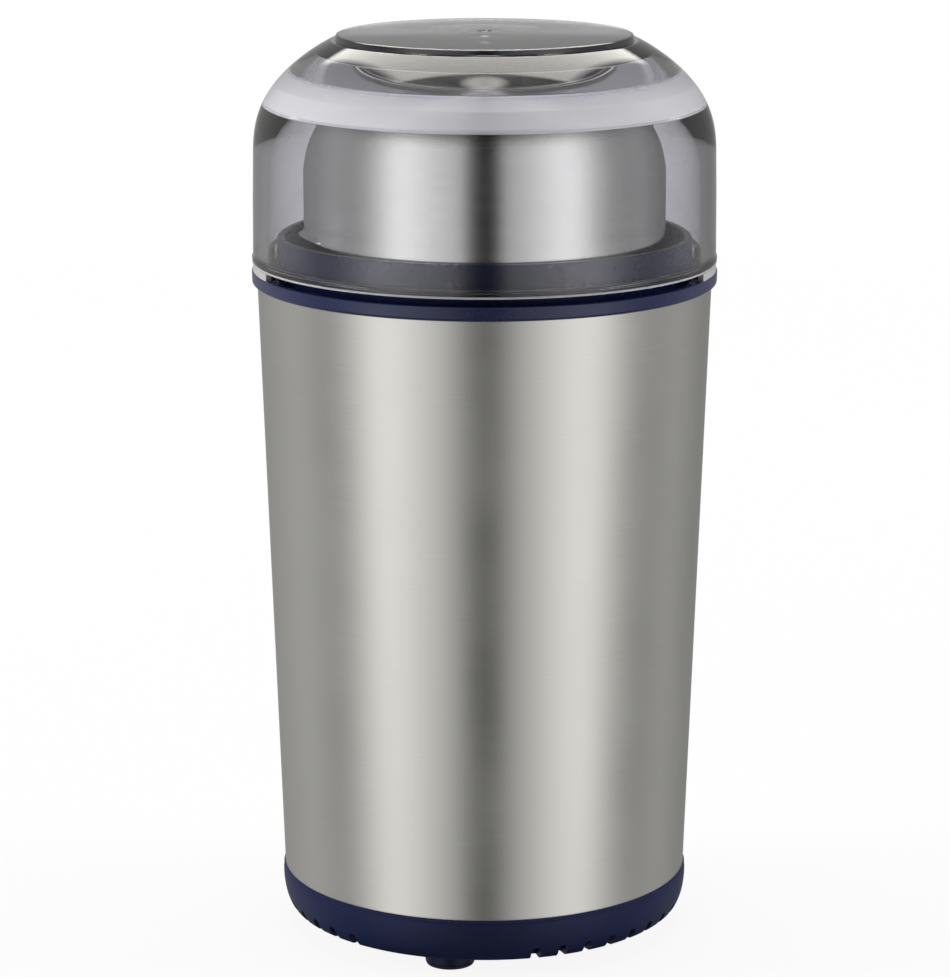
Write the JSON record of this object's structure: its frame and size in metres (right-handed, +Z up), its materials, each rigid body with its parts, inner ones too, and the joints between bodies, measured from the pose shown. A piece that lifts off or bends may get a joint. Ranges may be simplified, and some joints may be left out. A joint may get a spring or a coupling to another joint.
{
  "type": "electric spice grinder",
  "caption": "Upright electric spice grinder: clear press-down lid over a lift-out steel bowl with a two-tip blade, navy collar and base, brushed steel motor body.",
  "frame": {"origin": "centre of the circle that the feet stand on, at the plane of the feet", "axes": "+Z up along the axis of the body, -Y to the front, +X to the right seen from the front"},
  "size_m": [0.1004, 0.1004, 0.1979],
  "materials": {
    "navy_plastic": "satin moulded",
    "brushed_shell": "brushed round the axis",
    "bowl_steel": "satin drawn sheet",
    "bright_steel": "turned",
    "clear_plastic": "polished, slightly smoky",
    "silicone": "translucent",
    "black_rubber": "matt",
    "dark_plastic": "moulded",
    "black_plastic": "moulded",
    "laminations": "varnished stack",
    "copper_wire": "enamelled",
    "bronze": "sintered",
    "carbon": "dull",
    "white_plastic": "moulded",
    "capacitor_case": "dipped",
    "lead_jacket": "flexible"
  },
  "bodies": {
    "housing": {"base_cover": "navy_plastic", "rubber_feet": "black_rubber", "base_screws": "bright_steel", "outer_shell": "brushed_shell", "top_collar": "navy_plastic", "collar_screws": "bright_steel", "motor_housing": "dark_plastic", "rubber_mounts": "black_rubber", "lower_bracket": "bright_steel", "upper_bracket": "bright_steel", "lower_bearing": "bright_steel", "upper_bearing": "bright_steel", "stator_core": "laminations", "field_coils": "copper_wire", "motor_screws": "bright_steel", "brush_holders": "bronze", "carbon_brushes": "carbon", "micro_switch": "black_plastic", "switch_screws": "bright_steel", "noise_capacitor": "capacitor_case", "terminal_block": "white_plastic", "inner_leads": "lead_jacket", "cord_gland": "black_rubber", "return_springs": "bright_steel"},
    "rotor": {"armature_shaft": "bright_steel", "armature_core": "laminations", "armature_winding": "copper_wire", "commutator": "copper_wire", "cooling_fan": "white_plastic", "drive_dog": "black_plastic"},
    "bowl": {"grinding_bowl": "bowl_steel", "bowl_carrier": "navy_plastic", "blade_bush": "bronze", "bush_washer": "black_rubber", "bush_nut": "bright_steel"},
    "blade": {"blade_spindle": "bright_steel", "driven_dog": "black_plastic", "blade": "bright_steel", "blade_nut": "bright_steel"},
    "press": {"press_rods": "bright_steel", "press_yoke": "white_plastic"},
    "button": {"switch_button": "white_plastic"},
    "lid": {"clear_lid": "clear_plastic", "lid_seal": "silicone"}
  },
  "joints": [
    {"name": "lid_press", "type": "slide", "parent": "housing", "child": "press", "axis": [0, 0, 1], "range_m": [-0.0013, 0], "stiffness_N_per_m": 3000, "springref_m": 0.003, "deforming": ["return_springs"]},
    {"name": "lid_lift", "type": "slide", "parent": "press", "child": "lid", "axis": [0, 0, 1], "range_m": [0, 0.11]},
    {"name": "bowl_lift", "type": "slide", "parent": "housing", "child": "bowl", "axis": [0, 0, 1], "range_m": [0, 0.055]},
    {"name": "motor_spin", "type": "hinge", "parent": "housing", "child": "rotor", "pos_m": [0, 0, 0.08], "axis": [0, 0, 1], "continuous": true},
    {"name": "blade_spin", "type": "hinge", "parent": "bowl", "child": "blade", "pos_m": [0, 0, 0.14], "axis": [0, 0, 1], "continuous": true},
    {"name": "switch_click", "type": "slide", "parent": "housing", "child": "button", "axis": [0, 0, 1], "range_m": [-0.0006, 0]}
  ],
  "couplings": [
    {"joint": "bowl_lift", "follows": "lid_lift", "ratio": 0.5},
    {"joint": "blade_spin", "follows": "motor_spin", "ratio": 1},
    {"joint": "switch_click", "follows": "lid_press", "ratio": 0.4}
  ]
}
